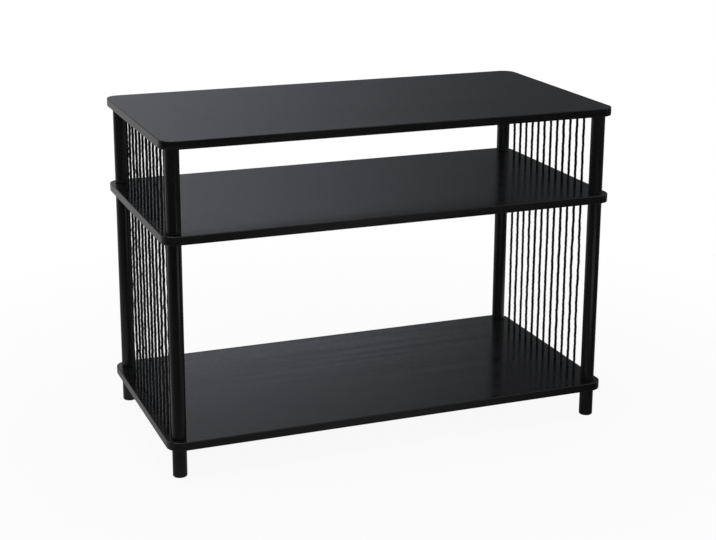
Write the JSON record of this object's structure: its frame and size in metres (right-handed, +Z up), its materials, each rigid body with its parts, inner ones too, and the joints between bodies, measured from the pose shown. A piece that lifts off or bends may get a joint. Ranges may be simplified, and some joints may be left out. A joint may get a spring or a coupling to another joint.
{
  "type": "tv stand",
  "caption": "Open media stand: rounded black boards stacked on round corner posts and feet, with a screen of upright twisted cords across each end.",
  "frame": {"origin": "on the floor, under the middle of the stand", "axes": "+X along the stand's length, to the right seen from the front; +Y from the front to the back; +Z up"},
  "size_m": [1, 0.51, 0.71],
  "materials": {
    "black_stained_board": "satin black stain over veneer, grain along the length",
    "black_stained_post": "satin black stain on turned wood",
    "black_twisted_cord": "black three-strand twisted cord",
    "zinc_plated_steel": "zinc plated",
    "black_felt": "pressed felt"
  },
  "bodies": {
    "root": {"top_board": "black_stained_board", "middle_board": "black_stained_board", "bottom_board": "black_stained_board", "upper_post_front_left": "black_stained_post", "upper_post_front_right": "black_stained_post", "upper_post_back_left": "black_stained_post", "upper_post_back_right": "black_stained_post", "lower_post_front_left": "black_stained_post", "lower_post_front_right": "black_stained_post", "lower_post_back_left": "black_stained_post", "lower_post_back_right": "black_stained_post", "foot_front_left": "black_stained_post", "foot_front_right": "black_stained_post", "foot_back_left": "black_stained_post", "foot_back_right": "black_stained_post", "foot_pad_front_left": "black_felt", "foot_pad_front_right": "black_felt", "foot_pad_back_left": "black_felt", "foot_pad_back_right": "black_felt", "top_stud_front_left": "zinc_plated_steel", "top_stud_front_right": "zinc_plated_steel", "top_stud_back_left": "zinc_plated_steel", "top_stud_back_right": "zinc_plated_steel", "middle_stud_front_left": "zinc_plated_steel", "middle_stud_front_right": "zinc_plated_steel", "middle_stud_back_left": "zinc_plated_steel", "middle_stud_back_right": "zinc_plated_steel", "foot_stud_front_left": "zinc_plated_steel", "foot_stud_front_right": "zinc_plated_steel", "foot_stud_back_left": "zinc_plated_steel", "foot_stud_back_right": "zinc_plated_steel", "end_cord_left_01": "black_twisted_cord", "end_cord_left_02": "black_twisted_cord", "end_cord_left_03": "black_twisted_cord", "end_cord_left_04": "black_twisted_cord", "end_cord_left_05": "black_twisted_cord", "end_cord_left_06": "black_twisted_cord", "end_cord_left_07": "black_twisted_cord", "end_cord_left_08": "black_twisted_cord", "end_cord_left_09": "black_twisted_cord", "end_cord_left_10": "black_twisted_cord", "end_cord_left_11": "black_twisted_cord", "end_cord_left_12": "black_twisted_cord", "end_cord_right_01": "black_twisted_cord", "end_cord_right_02": "black_twisted_cord", "end_cord_right_03": "black_twisted_cord", "end_cord_right_04": "black_twisted_cord", "end_cord_right_05": "black_twisted_cord", "end_cord_right_06": "black_twisted_cord", "end_cord_right_07": "black_twisted_cord", "end_cord_right_08": "black_twisted_cord", "end_cord_right_09": "black_twisted_cord", "end_cord_right_10": "black_twisted_cord", "end_cord_right_11": "black_twisted_cord", "end_cord_right_12": "black_twisted_cord"}
  },
  "joints": []
}
